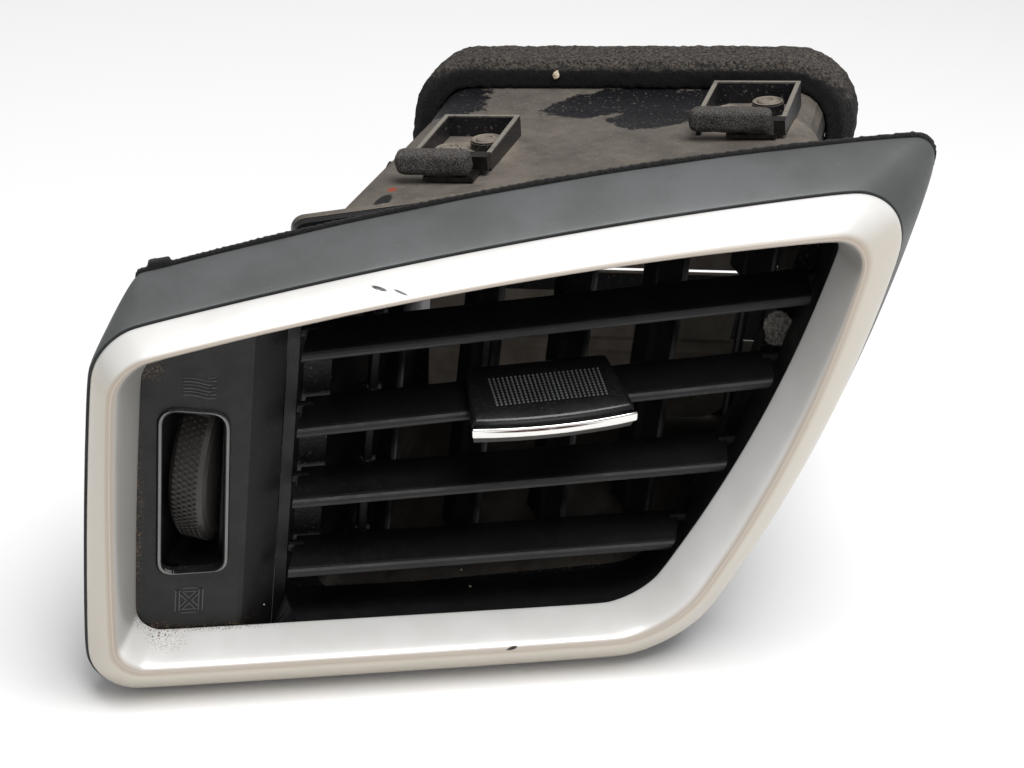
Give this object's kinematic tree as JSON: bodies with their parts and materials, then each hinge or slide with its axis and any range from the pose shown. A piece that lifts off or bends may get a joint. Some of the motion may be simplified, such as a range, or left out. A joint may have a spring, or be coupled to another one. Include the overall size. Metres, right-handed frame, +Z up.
{
  "type": "dashboard air vent",
  "caption": "Left-hand dashboard air vent: silver-ringed bezel, tilting slats with a slider knob, upright vanes, shut-off thumbwheel and a foam-sealed rear duct.",
  "frame": {"origin": "under the middle of the vent's bounding box, on the surface that it stands on", "axes": "+X to the vent's right along the slats, +Y into the dashboard, +Z up"},
  "size_m": [0.2042, 0.1386, 0.1354],
  "materials": {
    "satin_silver_paint": "satin silver paint",
    "soft_touch_slate": "soft-touch slate grey",
    "black_felt": "black felt",
    "grained_black_abs": "fine grained black",
    "louvre_black_pp": "satin black",
    "natural_black_pom": "satin black",
    "bright_chrome": "bright chrome",
    "dusty_flap": "black with brown-grey dust",
    "dusty_black_duct": "black with dust",
    "zinc_plated_screw": "zinc plated",
    "phosphated_spring_steel": "dark phosphated steel",
    "black_open_foam": "open-cell black foam"
  },
  "bodies": {
    "vent": {"trim_ring": "satin_silver_paint", "bezel": "soft_touch_slate", "edge_felt": "black_felt", "fascia_panel": "grained_black_abs", "louvre_housing": "louvre_black_pp", "wheel_bracket": "louvre_black_pp", "duct": "dusty_black_duct", "duct_screw_1": "zinc_plated_screw", "duct_screw_2": "zinc_plated_screw", "duct_screw_3": "zinc_plated_screw", "duct_screw_4": "zinc_plated_screw", "clip_left": "phosphated_spring_steel", "pad_left": "black_open_foam", "clip_right": "phosphated_spring_steel", "pad_right": "black_open_foam", "duct_seal": "black_open_foam"},
    "slat_1": {"slat_1": "louvre_black_pp"},
    "slat_2": {"slat_2": "louvre_black_pp"},
    "slat_3": {"slat_3": "louvre_black_pp"},
    "slat_4": {"slat_4": "louvre_black_pp"},
    "slat_link": {"slat_link": "natural_black_pom"},
    "knob": {"knob_body": "grained_black_abs", "knob_chrome": "bright_chrome", "knob_fork": "grained_black_abs"},
    "vane_1": {"vane_1": "louvre_black_pp"},
    "vane_2": {"vane_2": "louvre_black_pp"},
    "vane_3": {"vane_3": "louvre_black_pp"},
    "vane_4": {"vane_4": "louvre_black_pp"},
    "vane_5": {"vane_5": "louvre_black_pp"},
    "vane_link": {"vane_link": "natural_black_pom"},
    "wheel": {"thumbwheel": "grained_black_abs", "wheel_crank": "natural_black_pom"},
    "drive_rod": {"drive_rod": "natural_black_pom"},
    "flap_upper": {"flap_upper": "dusty_flap", "flap_crank_upper": "natural_black_pom"},
    "flap_lower": {"flap_lower": "dusty_flap", "flap_crank_lower": "natural_black_pom"},
    "flap_link": {"flap_link": "natural_black_pom"}
  },
  "joints": [
    {"name": "slat_2_tilt", "type": "hinge", "parent": "vent", "child": "slat_2", "pos_m": [-0.00894, -0.04428, 0.07005], "axis": [0.9968, 0, 0.0802], "range_deg": [-20, 20]},
    {"name": "slat_1_tilt", "type": "hinge", "parent": "vent", "child": "slat_1", "pos_m": [-0.00894, -0.04428, 0.0907], "axis": [0.9954, 0, 0.0958], "range_deg": [-20, 20]},
    {"name": "slat_3_tilt", "type": "hinge", "parent": "vent", "child": "slat_3", "pos_m": [-0.00894, -0.04428, 0.0494], "axis": [0.9988, 0, 0.0488], "range_deg": [-20, 20]},
    {"name": "slat_4_tilt", "type": "hinge", "parent": "vent", "child": "slat_4", "pos_m": [-0.00894, -0.04428, 0.02875], "axis": [0.9997, 0, 0.0262], "range_deg": [-20, 20]},
    {"name": "slat_link_turn", "type": "hinge", "parent": "slat_1", "child": "slat_link", "pos_m": [-0.03354, -0.03828, 0.08833], "axis": [0.9954, 0, 0.0958], "range_deg": [-20, 20]},
    {"name": "knob_slide", "type": "slide", "parent": "slat_2", "child": "knob", "axis": [0.9968, 0, 0.0802], "range_m": [-0.00565, 0.0016]},
    {"name": "vane_1_turn", "type": "hinge", "parent": "vent", "child": "vane_1", "pos_m": [-0.02794, -0.02628, 0.01535], "axis": [0, 0, 1], "range_deg": [-35, 10]},
    {"name": "vane_2_turn", "type": "hinge", "parent": "vent", "child": "vane_2", "pos_m": [-0.00554, -0.02628, 0.01534], "axis": [0, 0, 1], "range_deg": [-35, 10]},
    {"name": "vane_3_turn", "type": "hinge", "parent": "vent", "child": "vane_3", "pos_m": [0.01686, -0.02628, 0.01838], "axis": [0, 0, 1], "range_deg": [-35, 10]},
    {"name": "vane_4_turn", "type": "hinge", "parent": "vent", "child": "vane_4", "pos_m": [0.03926, -0.02628, 0.02156], "axis": [0, 0, 1], "range_deg": [-35, 10]},
    {"name": "vane_5_turn", "type": "hinge", "parent": "vent", "child": "vane_5", "pos_m": [0.06166, -0.02628, 0.08749], "axis": [0, 0, 1], "range_deg": [-35, 10]},
    {"name": "vane_link_turn", "type": "hinge", "parent": "vane_1", "child": "vane_link", "pos_m": [-0.02912, -0.01958, 0.10046], "axis": [0, 0, 1], "range_deg": [-10, 35]},
    {"name": "wheel_turn", "type": "hinge", "parent": "vent", "child": "wheel", "pos_m": [-0.06871, -0.03712, 0.0526], "axis": [-0.891, 0.454, 0], "range_deg": [0, 80]},
    {"name": "drive_rod_turn", "type": "hinge", "parent": "wheel", "child": "drive_rod", "pos_m": [-0.0607, -0.04696, 0.05873], "axis": [-0.891, 0.454, 0], "range_deg": [-80, 0]},
    {"name": "flap_upper_turn", "type": "hinge", "parent": "vent", "child": "flap_upper", "pos_m": [0.04523, 0.01931, 0.08976], "axis": [-0.8752, 0.4459, -0.1876], "range_deg": [0, 80]},
    {"name": "flap_lower_turn", "type": "hinge", "parent": "vent", "child": "flap_lower", "pos_m": [0.04523, 0.01931, 0.04441], "axis": [-0.8752, 0.4459, -0.1876], "range_deg": [0, 80]},
    {"name": "flap_link_turn", "type": "hinge", "parent": "flap_upper", "child": "flap_link", "pos_m": [-0.00999, 0.04167, 0.08467], "axis": [-0.8752, 0.4459, -0.1876], "range_deg": [-80, 0]}
  ],
  "couplings": [
    {"joint": "slat_1_tilt", "follows": "slat_2_tilt", "ratio": 1},
    {"joint": "slat_3_tilt", "follows": "slat_2_tilt", "ratio": 1},
    {"joint": "slat_4_tilt", "follows": "slat_2_tilt", "ratio": 1},
    {"joint": "slat_link_turn", "follows": "slat_2_tilt", "ratio": -1},
    {"joint": "vane_1_turn", "follows": "knob_slide", "rad_per_m": 108},
    {"joint": "vane_2_turn", "follows": "knob_slide", "rad_per_m": 108},
    {"joint": "vane_3_turn", "follows": "knob_slide", "rad_per_m": 108},
    {"joint": "vane_4_turn", "follows": "knob_slide", "rad_per_m": 108},
    {"joint": "vane_5_turn", "follows": "knob_slide", "rad_per_m": 108},
    {"joint": "vane_link_turn", "follows": "knob_slide", "rad_per_m": -108},
    {"joint": "drive_rod_turn", "follows": "wheel_turn", "ratio": -1},
    {"joint": "flap_upper_turn", "follows": "wheel_turn", "ratio": 1},
    {"joint": "flap_lower_turn", "follows": "wheel_turn", "ratio": 1},
    {"joint": "flap_link_turn", "follows": "wheel_turn", "ratio": -1}
  ]
}
